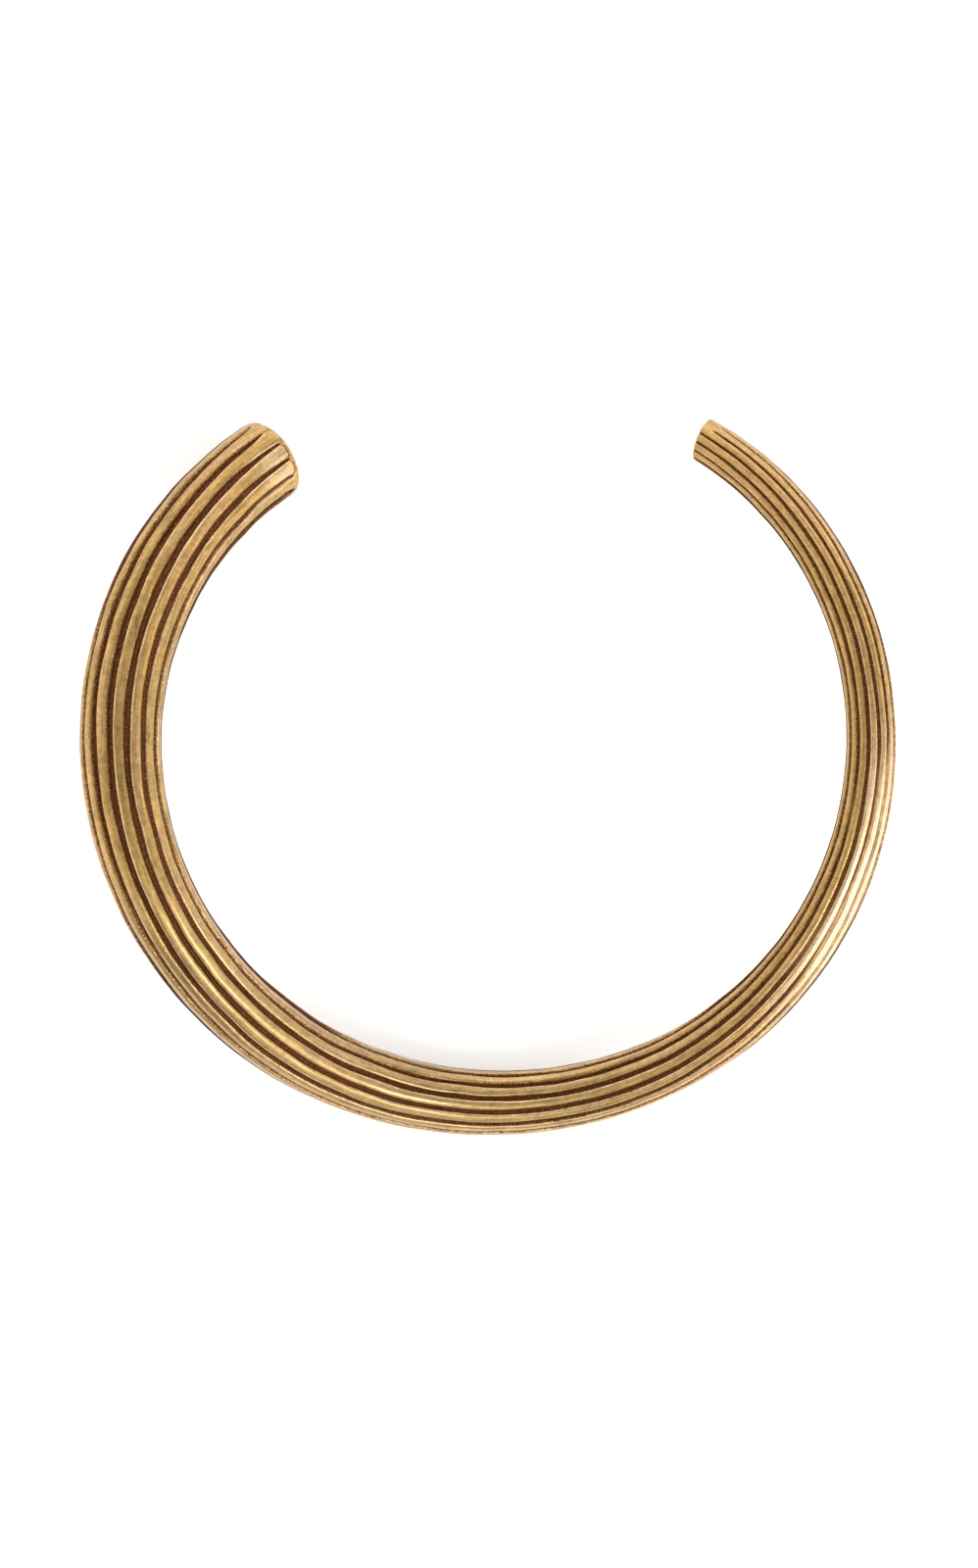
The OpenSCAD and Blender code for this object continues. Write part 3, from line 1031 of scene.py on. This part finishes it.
# Colour of the room's light, and how high up, as a share of the whole way, it is the overhead light
ROOM_COLOUR = (1.0, 0.985, 0.965, 1)
OVERHEAD_FROM = 0.95
# Where the camera looks, and the height of its frame in millimetres
CAMERA_AIM = Vector((1.74 * MM, -1.26 * MM, 4.35 * MM))
SENSOR = 36
# The low window, the high pale front and the faint glow behind. Each has an azimuth (0 is +X and 90 is +Y)
# and an elevation, how far from there it begins and is full, all in degrees, and what it adds to the light.
GLOWS = ((-36, 8, 36, 8, 2.3), (-82, 60, 22, 6, 0.9), (60, 0, 70, 15, 0.25))
# The dim side of the room, in the same terms, and the share of the light that it keeps
DIM_SIDE = (-107, 3, 38, 12, 0.35)


def make_floor(look):
    bpy.ops.object.select_all(action="DESELECT")
    bpy.ops.mesh.primitive_plane_add(size=look.floor_size, location=(0, 0, 0))
    floor = bpy.context.active_object
    floor.name = "floor"
    material = bpy.data.materials.new("floor_paper")
    material.use_nodes = True
    tree = material.node_tree
    shader = tree.nodes["Principled BSDF"]
    place = add_node(tree, "ShaderNodeTexCoord").outputs["Object"]
    cloud = noise(tree, place, CLOUD_SIZE, 2)
    colour = mix(tree, cloud, look.floor_colour, [CLOUD_SHADE * part for part in look.floor_colour])
    tree.links.new(colour, shader.inputs["Base Color"])
    shader.inputs["Roughness"].default_value = PAPER_ROUGHNESS
    shader.inputs["Specular IOR Level"].default_value = PAPER_SHINE
    shader.inputs["Emission Color"].default_value = (1, 1, 1, 1)
    shader.inputs["Emission Strength"].default_value = look.glow
    floor.data.materials.append(material)


def soft_box(azimuth, elevation, distance, size, power):
    """A square soft light that faces the ring, from a direction in degrees: 0 is +X and 90 is +Y."""
    data = bpy.data.lights.new("soft_box", "AREA")
    data.shape = "SQUARE"
    data.size = size
    data.energy = power
    box = bpy.data.objects.new("soft_box", data)
    box.rotation_euler = (0, math.radians(90 - elevation), math.radians(azimuth))
    box.location = Euler(box.rotation_euler).to_matrix() @ Vector((0, 0, distance))
    box.visible_camera = False
    bpy.context.scene.collection.objects.link(box)


def toward(tree, way, azimuth, elevation, begins, full, at_begin, at_full):
    """Eases from one value to another as the way turns towards a direction."""
    azimuth, elevation, begins, full = (math.radians(angle) for angle in (azimuth, elevation, begins, full))
    level = math.cos(elevation)
    aim = (level * math.cos(azimuth), level * math.sin(azimuth), math.sin(elevation))
    node = add_node(tree, "ShaderNodeVectorMath", {0: way, 1: aim}, operation="DOT_PRODUCT")
    return rise(tree, node.outputs["Value"], math.cos(begins), math.cos(full), at_begin, at_full)


def make_room(look):
    """Soft light from a pale room, brighter towards the horizon, with its glows and its dim side."""
    world = bpy.data.worlds.new("pale_room")
    world.use_nodes = True
    tree = world.node_tree
    way = add_node(tree, "ShaderNodeTexCoord").outputs["Generated"]
    height = add_node(tree, "ShaderNodeSeparateXYZ", {0: way}).outputs["Z"]
    light = rise(tree, height, 0.0, OVERHEAD_FROM, look.horizon, look.overhead)
    light = calc(tree, "MULTIPLY", light, toward(tree, way, *DIM_SIDE[:4], 1.0, DIM_SIDE[4]))
    for glow in GLOWS:
        light = calc(tree, "ADD", light, toward(tree, way, *glow[:4], 0.0, glow[4]))
    background = tree.nodes["Background"]
    background.inputs["Color"].default_value = ROOM_COLOUR
    tree.links.new(light, background.inputs["Strength"])
    bpy.context.scene.world = world


def make_camera(look, sizes):
    data = bpy.data.cameras.new("camera")
    data.sensor_fit = "VERTICAL"
    data.sensor_width = SENSOR
    data.sensor_height = SENSOR
    data.lens = look.lens
    camera = bpy.data.objects.new("camera", data)
    camera.rotation_euler = (sizes.lean_x, sizes.lean_y, 0)
    camera.location = CAMERA_AIM + Euler(camera.rotation_euler).to_matrix() @ Vector((0, 0, look.distance))
    bpy.context.scene.collection.objects.link(camera)
    bpy.context.scene.camera = camera


class NECKRING_OT_stage(bpy.types.Operator):
    """Lays the pale floor and sets up the soft light and the camera"""

    bl_idname = "neck_ring.stage"
    bl_label = "Stage"
    bl_options = {"REGISTER", "UNDO"}

    def execute(self, context):
        look = context.scene.neck_ring_stage
        make_floor(look)
        make_room(look)
        soft_box(*KEY_DIRECTION, KEY_DISTANCE, KEY_SIZE, look.key)
        make_camera(look, context.scene.neck_ring_sizes)
        context.scene.view_settings.view_transform = "Standard"
        return {"FINISHED"}


class NECKRING_PT_panel(bpy.types.Panel):
    """Lists the sizes, the finish, the stage and the steps that make them"""

    bl_label = "Neck Ring"
    bl_idname = "NECKRING_PT_panel"
    bl_space_type = "VIEW_3D"
    bl_region_type = "UI"
    bl_category = "Neck Ring"

    def draw(self, context):
        for settings, operator in ((context.scene.neck_ring_sizes, None),
                                   (context.scene.neck_ring_finish, NECKRING_OT_collar),
                                   (context.scene.neck_ring_stage, NECKRING_OT_stage)):
            box = self.layout.box()
            for name in settings.__annotations__:
                box.prop(settings, name)
            if operator:
                self.layout.operator(operator.bl_idname)


CLASSES = (BarSizes, BrassFinish, StageLook, NECKRING_OT_collar, NECKRING_OT_stage, NECKRING_PT_panel)


def register():
    for each in CLASSES:
        bpy.utils.register_class(each)
    bpy.types.Scene.neck_ring_sizes = PointerProperty(type=BarSizes)
    bpy.types.Scene.neck_ring_finish = PointerProperty(type=BrassFinish)
    bpy.types.Scene.neck_ring_stage = PointerProperty(type=StageLook)


def unregister():
    del bpy.types.Scene.neck_ring_stage
    del bpy.types.Scene.neck_ring_finish
    del bpy.types.Scene.neck_ring_sizes
    for each in reversed(CLASSES):
        bpy.utils.unregister_class(each)


def main():
    register()
    bpy.ops.neck_ring.collar()
    bpy.ops.neck_ring.stage()


if __name__ == "__main__":
    main()
